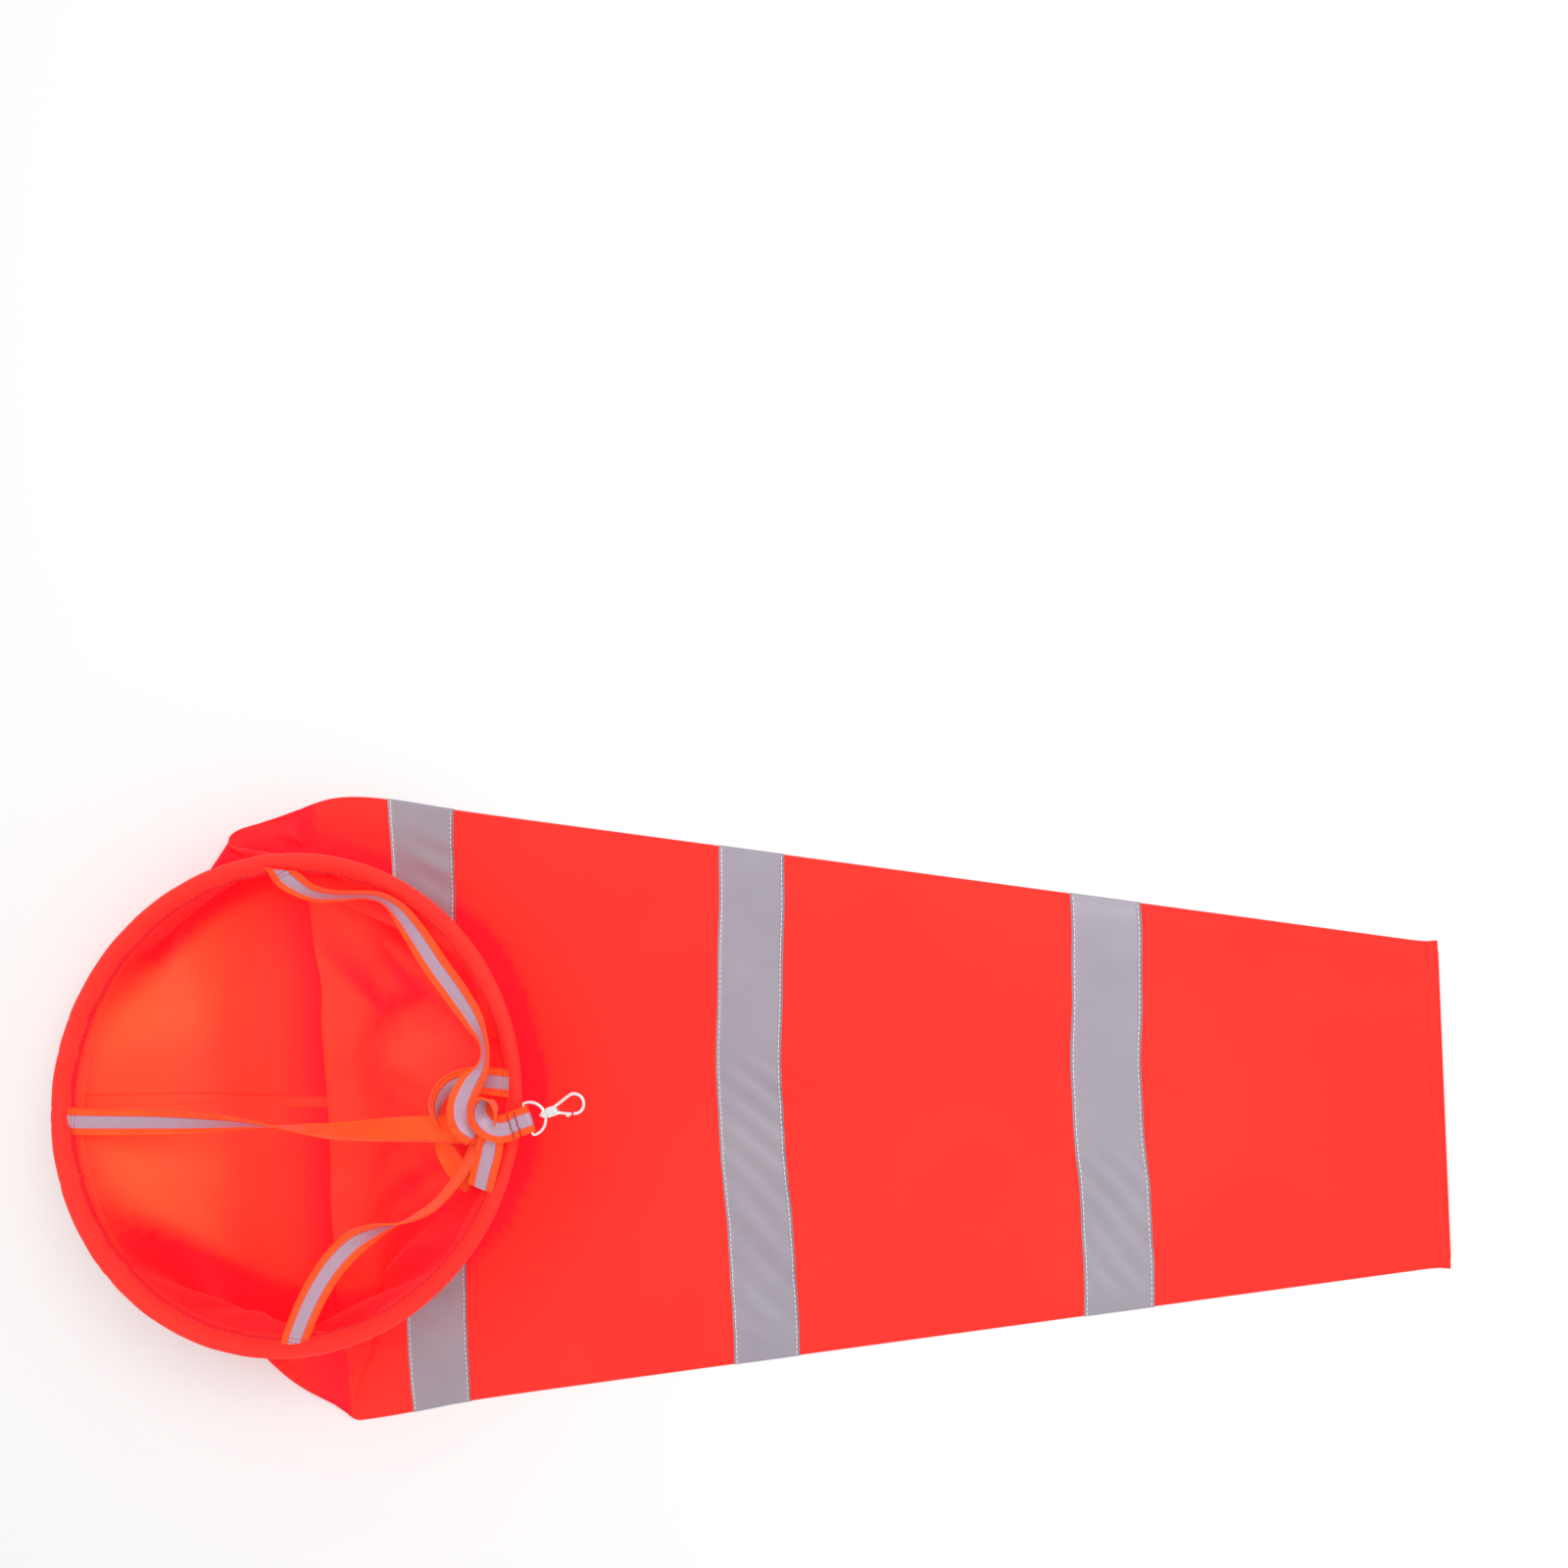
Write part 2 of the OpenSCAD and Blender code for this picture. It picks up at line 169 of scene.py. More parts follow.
def cloth(name, grid, thick, finish, size, around=False):
    """A sheet of cloth with two faces and closed edges. size is its weave's width and length, in mm."""
    ni, nj = grid.shape[:2]
    n = faces_normal(grid, around) * thick / 2
    points = np.concatenate([(grid + n).reshape(-1, 3), (grid - n).reshape(-1, 3)])
    quads, place = grid_faces(ni, nj, around)
    under = ni * nj
    edges = []
    ids = np.arange(ni * nj).reshape(ni, nj)
    for line in [ids[:, 0][::-1], ids[:, -1]] + ([] if around else [ids[0], ids[-1][::-1]]):
        a, b = (line, np.roll(line, -1)) if around else (line[:-1], line[1:])
        edges.append(np.stack([b, a, a + under, b + under], 1))
    edges = np.concatenate(edges)
    faces = np.concatenate([quads, quads[:, ::-1] + under, edges])
    scale = np.array(size) / [ni if around else ni - 1, nj - 1] * MM
    uv = np.concatenate([place * scale, place[:, ::-1] * scale, np.zeros((len(edges), 4, 2))])
    return add_mesh(name, points, faces.tolist(), finish, uv)


# A stitch's shape: how far along it, and how thick it is there, for its rings of points
STITCH_RINGS = ((0.0, 0.35), (0.12, 0.85), (0.5, 1.0), (0.88, 0.85), (1.0, 0.35))
STITCH_SIDES = 6


def stitches(name, points, ups, finish, length=3.0, pitch=4.2, thick=0.45):
    """A row of thread stitches along a line of points. Each is a short rounded bar, raised along ups."""
    run = along_line(points)
    at = np.arange(length / 2, run[-1] - length / 2, pitch)

    def place(values, s):
        return np.column_stack([np.interp(s, run, values[:, k]) for k in range(3)])

    start, along = place(points, at - length / 2), place(points, at + length / 2)
    along = along - start
    up = unit(place(ups, at))
    side = unit(np.cross(along, up))
    rings = []
    for f, r in STITCH_RINGS:
        for k in range(STITCH_SIDES):
            turn = math.tau * k / STITCH_SIDES
            rim = side * math.cos(turn) + up * (math.sin(turn) + 0.4)
            rings.append(start + along * f + rim * r * thick / 2)
    quads, _ = grid_faces(STITCH_SIDES, len(STITCH_RINGS), True)
    quads = quads % len(STITCH_RINGS) * STITCH_SIDES + quads // len(STITCH_RINGS)
    end = len(rings) - STITCH_SIDES
    fan = range(1, STITCH_SIDES - 1)
    caps = [[0, k + 1, k] for k in reversed(fan)] + [[end, end + k, end + k + 1] for k in fan]
    faces = [(np.array(f) + len(rings) * n).tolist() for n in range(len(at)) for f in quads.tolist() + caps]
    return add_mesh(name, np.stack(rings, 1), faces, finish)


# ---- Materials ----

WAVE_PERIOD = 0.314     # metres between a wave texture's bands at scale 1


class Finish:
    """A node material that is built up from its Principled shader."""

    def __init__(self, name, **values):
        self.material = bpy.data.materials.new(name)
        self.material.use_nodes = True
        self.tree = self.material.node_tree
        self.shader = self.tree.nodes["Principled BSDF"]
        for key, value in values.items():
            self.shader.inputs[key.replace("_", " ")].default_value = value

    def node(self, kind, links=(), values=(), **props):
        """A node with its sockets linked or set. Sockets are named or numbered."""
        n = self.tree.nodes.new(kind)
        for key, value in props.items():
            setattr(n, key, value)
        for key, value in dict(values).items():
            n.inputs[key].default_value = value
        for key, source in dict(links).items():
            self.tree.links.new(source, n.inputs[key])
        return n

    def place(self):
        """Where each point is, for patterns that don't follow the cloth's cut."""
        return self.node("ShaderNodeTexCoord").outputs["Object"]

    def attribute(self, name):
        """A number that the mesh carries at its points."""
        return self.node("ShaderNodeAttribute", attribute_name=name).outputs["Fac"]

    def glow(self, colour, strength):
        """Fluorescent cloth gives back more red than falls on it. This even emission stands in for that,
        and is a painted glow that lifts the red in the cloth's shade too.
        """
        self.shader.inputs["Emission Color"].default_value = (*colour, 1)
        self.shader.inputs["Emission Strength"].default_value = strength

    def link(self, source, target):
        self.tree.links.new(source, self.shader.inputs[target])

    def mix(self, factor, a, b):
        """Mixes two colours, given as values or sockets, by a socket."""
        n = self.node("ShaderNodeMix", {0: factor}, data_type="RGBA")
        for index, c in ((6, a), (7, b)):
            if isinstance(c, tuple):
                n.inputs[index].default_value = (*c, 1)
            else:
                self.tree.links.new(c, n.inputs[index])
        return n.outputs[2]

    def ramp(self, source, low, high):
        n = self.node("ShaderNodeMapRange", {0: source}, {1: low, 2: high})
        return n.outputs[0]

    def noise(self, coords, scale, detail=3.0, rough=0.55):
        values = {"Scale": scale, "Detail": detail, "Roughness": rough}
        return self.node("ShaderNodeTexNoise", {"Vector": coords}, values).outputs["Fac"]

    def maths(self, operation, a, b):
        n = self.node("ShaderNodeMath", operation=operation)
        for index, v in ((0, a), (1, b)):
            if isinstance(v, (int, float)):
                n.inputs[index].default_value = v
            else:
                self.tree.links.new(v, n.inputs[index])
        return n.outputs[0]

    def bumps(self, height, strength, distance):
        n = self.node("ShaderNodeBump", {"Height": height}, {"Strength": strength, "Distance": distance})
        self.link(n.outputs[0], "Normal")

    def weave(self, warp, weft):
        """The height of a plain weave in the cloth's own cut, with that many metres between threads."""
        cut = self.node("ShaderNodeUVMap", uv_map="cut").outputs[0]
        lanes = []
        for direction, step in (("X", warp), ("Y", weft)):
            values = {"Scale": WAVE_PERIOD / step, "Distortion": 0.3}
            wave = self.node("ShaderNodeTexWave", {"Vector": cut}, values, bands_direction=direction)
            lanes.append(wave.outputs["Fac"])
        return self.maths("MULTIPLY", *lanes)


# The cloth's colour on the flat and in its paler clouds, its painted shade in closed places, its
# painted light inside the mouth, and its painted light where light gathers in there
BODY = (1.0, 0.026, 0.017)
LIT = (1.0, 0.050, 0.029)
RECESS_SHADE = (1.0, 0.003, 0.024)
INSIDE_LIGHT = (1.0, 0.054, 0.026)
GLOW = (1.0, 0.150, 0.050)


def sleeve_finish():
    f = Finish("sleeve_cloth", Roughness=0.62, Sheen_Weight=0.08, Sheen_Roughness=0.4,
               Specular_IOR_Level=0.25)
    # painted glow: an even red emission for the cloth's fluorescence, which also lifts its shade
    f.glow((1.0, 0.012, 0.010), 0.16)
    place = f.place()
    soft = f.ramp(f.noise(place, 5.0, 2.0), 0.35, 0.75)
    fine = f.ramp(f.noise(place, 900.0, 2.0), 0.3, 0.7)
    base = f.mix(f.maths("MULTIPLY", soft, 0.35), BODY, LIT)
    base = f.mix(f.maths("MULTIPLY", fine, 0.10), base, (0.90, 0.03, 0.022))
    # painted light: the cloth is a paler red inside the mouth
    base = f.mix(f.attribute("inside"), base, INSIDE_LIGHT)
    base = f.mix(f.attribute("glow"), base, GLOW)
    # painted shade: a darker, pinker red where the cloth is closed in, in the dent and beside the fold
    f.link(f.mix(f.attribute("recess_shade"), base, RECESS_SHADE), "Base Color")
    height = f.weave(0.0007, 0.0007)
    drape = f.maths("MULTIPLY", f.noise(place, 22.0, 3.0), 2.5)
    f.bumps(f.maths("ADD", height, drape), 0.35, 0.0004)
    return f.material


def tape_finish():
    f = Finish("tape", Roughness=0.42, Metallic=0.15)
    place = f.place()
    beads = f.ramp(f.noise(place, 1800.0, 2.0), 0.3, 0.7)
    cloudy = f.ramp(f.noise(place, 14.0, 3.0), 0.3, 0.75)
    base = f.mix(cloudy, (0.335, 0.295, 0.355), (0.385, 0.350, 0.405))
    f.link(f.mix(f.maths("MULTIPLY", beads, 0.25), base, (0.48, 0.44, 0.49)), "Base Color")
    f.bumps(f.maths("ADD", beads, f.maths("MULTIPLY", f.noise(place, 60.0, 2.0), 2.0)), 0.25, 0.0003)
    return f.material


def webbing_finish():
    f = Finish("webbing", Roughness=0.65, Sheen_Weight=0.2, Sheen_Roughness=0.35, Specular_IOR_Level=0.2)
    # painted glow: an even red emission for the webbing's fluorescence, which also lifts its shade
    f.glow((1.0, 0.05, 0.01), 0.10)
    ribs = f.weave(0.0012, 0.0009)
    place = f.place()
    worn = f.ramp(f.noise(place, 60.0, 3.0), 0.3, 0.75)
    base = f.mix(worn, (1.0, 0.080, 0.012), (1.0, 0.115, 0.018))
    f.link(f.mix(f.maths("MULTIPLY", ribs, 0.35), base, (1.0, 0.145, 0.028)), "Base Color")
    f.bumps(ribs, 0.6, 0.0003)
    return f.material


def stripe_finish():
    f = Finish("webbing_stripe", Roughness=0.4, Metallic=0.1)
    place = f.place()
    cut = f.node("ShaderNodeUVMap", uv_map="cut").outputs[0]
    across = f.node("ShaderNodeSeparateXYZ", {0: cut}).outputs[0]
    half = stripe_w / 2 * MM
    from_middle = f.maths("ABSOLUTE", f.maths("SUBTRACT", across, half), 0.0)
    edge = f.ramp(from_middle, half - 0.0010, half)
    beads = f.ramp(f.noise(place, 1800.0, 2.0), 0.3, 0.7)
    base = f.mix(f.maths("MULTIPLY", beads, 0.4), (0.47, 0.30, 0.40), (0.58, 0.42, 0.50))
    f.link(f.mix(edge, base, (0.80, 0.11, 0.22)), "Base Color")
    f.bumps(beads, 0.2, 0.0002)
    return f.material


def thread_finish(name, colour, shade):
    f = Finish(name, Roughness=0.6)
    place = f.place()
    twist = f.ramp(f.noise(place, 1500.0, 2.0), 0.3, 0.7)
    f.link(f.mix(twist, shade, colour), "Base Color")
    f.bumps(twist, 0.4, 0.0002)
    return f.material


def metal_finish(name, colour, dull, rough):
    f = Finish(name, Metallic=1.0)
    place = f.place()
    marks = f.ramp(f.noise(place, 350.0, 4.0), 0.35, 0.8)
    f.link(f.mix(marks, colour, dull), "Base Color")
    f.link(f.node("ShaderNodeMapRange", {0: marks}, {3: rough, 4: rough + 0.14}).outputs[0], "Roughness")
    f.bumps(f.noise(place, 900.0, 2.0), 0.08, 0.0001)
    return f.material


sleeve_cloth = sleeve_finish()
tape = tape_finish()
webbing = webbing_finish()
stripe_tape = stripe_finish()
white_thread = thread_finish("white_thread", (1.0, 0.90, 0.92), (0.92, 0.76, 0.80))
red_thread = thread_finish("red_thread", (0.42, 0.012, 0.012), (0.30, 0.006, 0.006))
hem_thread = thread_finish("hem_thread", (0.62, 0.006, 0.012), (0.48, 0.004, 0.010))
nickel = metal_finish("nickel", (0.99, 0.98, 0.98), (0.92, 0.90, 0.90), 0.16)
steel = metal_finish("steel", (0.80, 0.79, 0.77), (0.62, 0.60, 0.58), 0.28)


# ---- The sleeve's lie before it settles ----

NI, NJ = 160, 141       # round the sleeve, and along it

# How eight lines of the cloth run from the mouth to the shoulder: from the middle of the lower
# layer, over the +Y side, the upper layer and the -Y side. The upper layer runs down from the
# hoop's right half, turns back under itself and goes to the tail.
RUNS = [
    [(-458, 10, 52), (-415, 6, 26), (-370, 3, 8), (-325, 0, 1)],
    [(-456, 146, 34), (-450, 148, 5), (-408, 138, 1.5)],
    [(-374, 200, 24), (-415, 210, 5), (-350, 229, 3)],
    [(-280, 142, 32), (-360, 152, 17), (-332, 140, 6)],
    [(-235, 10, 44), (-322, 0, 20), (-300, 0, 6)],
    [(-262, -112, 52), (-340, -130, 15), (-318, -128, 6)],
    [(-358, -178, 52), (-366, -196, 10), (-306, -245, 4)],
    [(-438, -118, 50), (-420, -126, 14), (-388, -127, 2)],
]


def layer_side(i):
    """How far across its layer a line of the cloth lies, from -1 to 1."""
    return 2 / math.pi * np.arcsin(np.sin(2 * math.pi * i / NI))


def flat_lie(i, x):
    """The cloth where it lies flat, as two layers that part a little between their folded sides."""
    side = layer_side(i)
    upper = (i > NI / 4) & (i < NI * 3 / 4)
    z = np.where(upper, 1.6 + 5.2 * (1 - side ** 4), 0.5 + 0.7 * side ** 8)
    return np.stack([x + 0 * side, side * half_w(x), z + 0 * x], -1)


def first_lie():
    shoulder_x = tail_x - shoulder
    lines = []
    for k, run in enumerate(RUNS):
        i = NI * k // 8
        start = on_hoop(np.array(math.pi - math.tau * k / 8), stitch_r, stitch_drop)
        ends = [flat_lie(np.array(i), x) for x in (shoulder_x, (shoulder_x + tail_x) / 2, tail_x)]
        lines.append(spline([start, *run, *ends], NJ))
    lines = np.array(lines)
    i = np.arange(NI)
    k, t = i * 8 // NI, (i * 8 / NI % 1)[:, None, None]
    lie = through(lines[k - 1], lines[k], lines[(k + 1) % 8], lines[(k + 2) % 8], t)
    x = tail_x - cut_l * (1 - np.linspace(0, 1, NJ))
    flat = flat_lie(i[:, None], x[None, :])
    w = smooth(shoulder_x - 30, shoulder_x + 45, x)[None, :, None]
    lie = lie * (1 - w) + flat * w
    lie[:, 0] = on_hoop(math.pi - math.tau * i / NI, stitch_r, stitch_drop)
    return lie


# ---- Cloth simulation: position based, with the flat cut as its rest shape ----

stretch_k, shear_k, bend_k = 1.0, 0.5, 0.12     # the share of its error that a spring mends in a round


def cut_shape():
    """The flat cut as points. A line of the tube along each fold joins the two layers."""
    i = np.arange(NI)
    x = tail_x - cut_l * (1 - np.linspace(0, 1, NJ))
    return np.stack(np.broadcast_arrays(x[None, :], layer_side(i)[:, None] * half_w(x)[None, :]), -1)


def springs(cut):
    """The springs that keep the cloth's size, and the ones that resist bending, in groups.

    A group is (one end, other end, length, stiffness), and no point is in it twice.
    """
    ids = np.arange(NI * NJ).reshape(NI, NJ)
    flat = cut.reshape(-1, 2)
    groups = []

    def add(a, b, stiff):
        a, b = a.ravel(), b.ravel()
        groups.append((a, b, np.linalg.norm(flat[a] - flat[b], axis=1), stiff))

    for odd in (0, 1):
        rows = np.arange(odd, NI, 2)
        add(ids[rows], ids[(rows + 1) % NI], stretch_k)
        cols = np.arange(odd, NJ - 1, 2)
        add(ids[:, cols], ids[:, cols + 1], stretch_k)
        add(ids[rows][:, :-1], ids[(rows + 1) % NI][:, 1:], shear_k)
        add(ids[(rows + 1) % NI][:, :-1], ids[rows][:, 1:], shear_k)
    bends = []
    for start in range(4):
        rows = np.arange(start, NI, 4)
        far = (rows + 2) % NI
        step = np.linalg.norm(cut[rows] - cut[(rows + 1) % NI], axis=-1)
        bends.append((ids[rows].ravel(), ids[far].ravel(), (2 * step).ravel(), bend_k))
        cols = np.arange(start, NJ - 2, 4)
        a, b = ids[:, cols].ravel(), ids[:, cols + 2].ravel()
        bends.append((a, b, np.linalg.norm(flat[a] - flat[b], axis=1), bend_k))
    return groups, bends


def pull(x, free, groups):
    for a, b, rest, stiff in groups:
        d = x[b] - x[a]
        length = np.linalg.norm(d, axis=1)
        share = free[a] + free[b]
        move = (stiff * (length - rest) / np.maximum(length * share, 1e-6))[:, None] * d
        x[a] += free[a][:, None] * move
        x[b] -= free[b][:, None] * move


def ground_map(corner, size, cell):
    """A grid of square cells on the floor: how many each way, and a function that gives a point's cell."""
    shape = (int(size[0] / cell), int(size[1] / cell))

    def cells(p):
        c = ((p[..., :2] - corner) / cell).astype(int)
        return np.clip(c[..., 0], 0, shape[0] - 1) * shape[1] + np.clip(c[..., 1], 0, shape[1] - 1)

    return shape, cells


def spread(m):
    """Each cell of a map, counted twice, with its four neighbours added."""
    return sum(np.roll(m, step, axis) for axis in (0, 1) for step in (-1, 1)) + 2 * m


def lay_over(x, upper, lower, gap=2.2, most=3.0):
    """Lifts the upper points clear of the lower ones, by a map of the lower ones' heights."""
    shape, cells = ground_map(np.array([sleeve_low[0] - 40, -290.0]), (1100, 600), 9.0)
    where = cells(x[lower])
    total = np.bincount(where, x[lower, 2], shape[0] * shape[1]).reshape(shape)
    count = np.bincount(where, minlength=shape[0] * shape[1]).reshape(shape).astype(float)
    for _ in range(2):
        total, count = spread(total), spread(count)
    height = np.where(count > 0.5, total / np.maximum(count, 1), -9.0).ravel()
    x[upper, 2] += np.clip(height[cells(x[upper])] + gap - x[upper, 2], 0, most)


def settle(lie, steps=150, rounds=7):
    """Lets the cloth fall and tighten from its first lie. The mouth stays on the hoop.

    leg1 is the upper layer from the mouth to the fold where it turns back, and leg2 is the rest of it.
    """
    x = lie.reshape(-1, 3).copy()
    first = x.copy()
    groups, bends = springs(cut_shape())
    i, j = np.divmod(np.arange(NI * NJ), NJ)
    free = np.where(j == 0, 0.0, 1.0)
    upper = (i > NI / 4 + 2) & (i < NI * 3 / 4 - 2)
    turn = np.argmin(lie[:, : NJ // 3, 0], axis=1)[i]
    leg1 = np.flatnonzero(upper & (j < turn) & (j > 0))
    leg2 = np.flatnonzero(upper & (j > turn + 1))
    low = np.flatnonzero((i < NI / 4 - 3) | (i > NI * 3 / 4 + 3))
    hold = 0.06 * smooth(tail_x - shoulder - 60, tail_x - shoulder + 40, first[:, 0])[:, None]
    corners = np.exp(-((np.abs(layer_side(i)) - 1) / 0.06) ** 2) * (j > 8) * 0.3
    hold = np.maximum(hold, corners[:, None])
    speed = np.zeros_like(x)
    keep, top_speed = 0.88, 3
    fall = np.array([0, 0, -0.55])
    floor_z, mouth_end_x = 0.4, -120
    for _ in range(steps):
        before = x.copy()
        x += (speed * keep + fall) * free[:, None]
        for _ in range(rounds):
            pull(x, free, groups)
        pull(x, free, bends)
        x += hold * (first - x) * free[:, None]
        near = low[x[low, 2] < 30]
        lay_over(x, leg2, near)
        lay_over(x, leg1, leg2[x[leg2, 0] < mouth_end_x])
        x[:, 2] = np.maximum(x[:, 2], floor_z)
        grip = np.where(x[:, 2] < floor_z + 0.2, 0.15, 1.0)[:, None]
        speed = np.clip((x - before) * grip, -top_speed, top_speed)
    return x.reshape(lie.shape)


def ease(lie, times):
    """Takes the grid's own grain out of the cloth, and keeps its folds."""
    for _ in range(times):
        mean = (np.roll(lie, 1, 0) + np.roll(lie, -1, 0)) / 2
        lie[:, 1:-1] += 0.35 * (mean[:, 1:-1] - lie[:, 1:-1])
        lie[:, 1:-1] += 0.35 * ((lie[:, :-2] + lie[:, 2:]) / 2 - lie[:, 1:-1])
    return lie


def finer(lie, times_i, times_j):
    """The same cloth on a finer grid, by smooth curves through its points."""
    for axis, times, around in ((0, times_i, True), (1, times_j, False)):
        p = np.moveaxis(lie, axis, 0)
        n = len(p)
        at = np.arange(n * times if around else (n - 1) * times + 1) / times
        k = np.minimum(at.astype(int), n - 1 if around else n - 2)
        t = (at - k)[:, None, None]

        def take(m):
            return p[m % n] if around else p[np.clip(m, 0, n - 1)]

        lie = np.moveaxis(through(take(k - 1), take(k), take(k + 1), take(k + 2), t), 0, axis)
    return lie


def recess_shade(points, tops, reach=80.0, cell=6.0):
    """How closed in each point is by the tops around it, from 0 to 1: on the light's side, for the painted
    shade, and behind, for the painted light inside the mouth.
    """
    shape, cells = ground_map(np.array([sleeve_low[0] - 60, -300.0]), (1150, 620), cell)
    sky = np.full(shape[0] * shape[1], -1.0)
    np.maximum.at(sky, cells(tops), tops[:, 2])
    turns = np.arange(16) * math.tau / 16
    weights = np.array([0.04 + np.maximum(np.cos(turns), 0) ** 2, np.maximum(-np.cos(turns), 0)])
    weights /= weights.sum(1, keepdims=True)
    covered = np.zeros((2, len(points)))
    for turn, weight in zip(turns, weights.T):
        way = np.array([math.cos(turn), math.sin(turn)])
        steep = np.zeros(len(points))
        for d in np.arange(cell * 1.5, reach, cell):
            rise = sky[cells(points[:, :2] + way * d)] - points[:, 2]
            steep = np.maximum(steep, rise / d)
        covered += weight[:, None] * steep ** 2 / (1 + steep ** 2)
    return covered


first = first_lie()
coarse = ease(settle(first), 3)
lie = finer(coarse, 2, 2)
ni, nj = lie.shape[:2]


dent_x, dent_y = -273, 73       # the point of the V


def dent(lie):
    """The slack of the upper layer inside the mouth: a V-shaped dent over a bulge, and its rounded fold.

    Also gives the shade in the dent and beside the fold, from 0 to 1.
    """
    j = np.arange(nj)[None, :]
    i = np.arange(ni)[:, None]
    fold_j = np.argmin(lie[:, : nj // 3, 0], axis=1)[:, None]
    upper = smooth(ni * 0.27, ni * 0.33, i) * (1 - smooth(ni * 0.66, ni * 0.73, i))
    inner = upper * smooth(0, 14, j) * (1 - smooth(fold_j - 8, fold_j + 2, j))
    x, y, z = lie[..., 0] - dent_x, lie[..., 1], lie[..., 2].copy()
    off = (y - dent_y - np.where(x < 0, -1.0, 0.42) * x) / np.where(x < 0, 1.41, 1.08)
    valley = np.exp(-(off / np.where(off > 0, 17, 7)) ** 2 - (x / np.where(x < 0, 62, 40)) ** 2)
    bulge = np.exp(-((x - 14) / 46) ** 2 - ((y - 42) / 28) ** 2)
    lift = inner * (15 * bulge - 12 * valley)
    lie[..., 2] = np.maximum(z + lift, np.minimum(z, 9.5))      # clear of the layers below
    roll = np.exp(-((j - fold_j) / 6.0) ** 2) * (4.0 - 2.5 * np.tanh((j - fold_j) / 3.0))
    lie[..., 2] += upper * roll
    fold_x, fold_y = (np.take_along_axis(lie[..., k], fold_j, 1)[ni // 3: ni * 2 // 3, 0] for k in (0, 1))
    beside = np.interp(-y, -fold_y, fold_x) - lie[..., 0]
    on_ground = (z < 6) & (beside > -6) & (upper < 0.5)
    beside_shade = on_ground * 0.95 * np.exp(-(np.maximum(beside, 0) / 32) ** 2)
    return lie, np.maximum(inner * valley, beside_shade)


# Creases by the bands: their place along the sleeve, from and to across it, their slope and spacing
CREASES = ((21, -200, 30, 0.9, 26), (282, -170, -40, 1.1, 24), (-239, -230, 220, 0.6, 30))


def ripple(lie):
    """Slight creases of the flat cloth, mostly across the bands, and slow waves over the whole."""
    i = np.arange(ni)[:, None]
    upper = smooth(ni * 0.26, ni * 0.30, i) * (1 - smooth(ni * 0.70, ni * 0.74, i))
    x, y = lie[..., 0], lie[..., 1]
    flat = upper * smooth(-275, -225, x) * smooth(0, 40, tail_x - x)
    z = 0.9 * np.sin(x / 61 + 0.4 * np.sin(y / 70)) * np.sin(y / 83 + 1.1 + x / 300)
    for centre, low, high, slope, step in CREASES:
        near = np.exp(-((x - centre) / 30) ** 2) * smooth(low - 20, low + 20, y)
        near = near * (1 - smooth(high - 20, high + 20, y))
        z = z + near * 0.75 * np.sin(math.tau * (y + slope * (x - centre)) / step + 1.5 * np.sin(y / 31))
    lie[..., 2] += flat * z
    return lie


lie, shade = dent(lie)
lie = ripple(lie)
out = faces_normal(lie, True)       # turned so that it points up on the upper layer
out = out * np.sign(np.mean(out[ni // 2 - 3: ni // 2 + 3, nj * 2 // 3, 2]))

# ---- Sleeve, seam and tail hem ----

hem_angles = np.linspace(0, math.tau, 720, endpoint=False)
hoop_line = on_hoop(hem_angles, hoop_r, 4.5)
tops = np.concatenate([lie.reshape(-1, 3), hoop_line])


def tint(obj, strength=1.0, crease_shade=0.0):
    """Writes the painted shade where the cloth is closed in, and the painted light where it is inside the
    mouth and where it is lit inside it.
    """
    points = np.array([v.co for v in obj.data.vertices]) / MM
    front, behind = recess_shade(points, tops)
    from_middle = np.linalg.norm((points - hoop_at)[:, :2] * [1, 1.03], axis=1)
    inside = 1 - smooth(hoop_r - 22, hoop_r - 4, from_middle)
    from_hoop_x = points[:, 0] - hoop_at[0]
    # painted shade where the tops close the cloth in towards the light, with less of it on the mouth's
    # floor
    closed = np.clip((front - 0.06) / 0.34, 0, 1) * strength
    closed *= 1 - 0.8 * inside * smooth(90, 10, from_hoop_x)
    lobes = 0.5 + 0.5 * smooth(15, 65, np.abs(points[:, 1] - 12))
    glow = inside * np.clip((behind - 0.05) / 0.45, 0, 1) * smooth(-60, -150, from_hoop_x) * lobes
    for key, value in (("recess_shade", np.maximum(closed, crease_shade)), ("inside", inside), ("glow", glow)):
        obj.data.attributes.new(key, "FLOAT", "POINT").data.foreach_set("value", value.astype(np.float32))


sleeve = cloth("sleeve", lie, cloth_t, sleeve_cloth, (784, cut_l), around=True)
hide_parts("sock_sleeve")
# the painted shade in the dent and beside the fold goes in with the recess shade
tint(sleeve, crease_shade=np.tile(shade.ravel(), 2))


def over_cloth(i_line, j_line, lift):
    """Points on the sleeve at fractional places of its grid, lifted outwards, and the way out."""
    i_line, j_line = np.broadcast_arrays(i_line, j_line)
    i0, j0 = np.floor(i_line).astype(int), np.clip(np.floor(j_line).astype(int), 0, nj - 2)
    fi, fj = (i_line - i0)[..., None], (j_line - j0)[..., None]

    def blend(g):
        a = g[i0 % ni, j0] * (1 - fi) + g[(i0 + 1) % ni, j0] * fi
        b = g[i0 % ni, j0 + 1] * (1 - fi) + g[(i0 + 1) % ni, j0 + 1] * fi
        return a * (1 - fj) + b * fj

    n = unit(blend(out))
    return blend(lie) + n * lift, n


def row_at(x):
    """The row of the grid that lies at x, on the flat part."""
    return (1 - (tail_x - x) / cut_l) * (nj - 1)


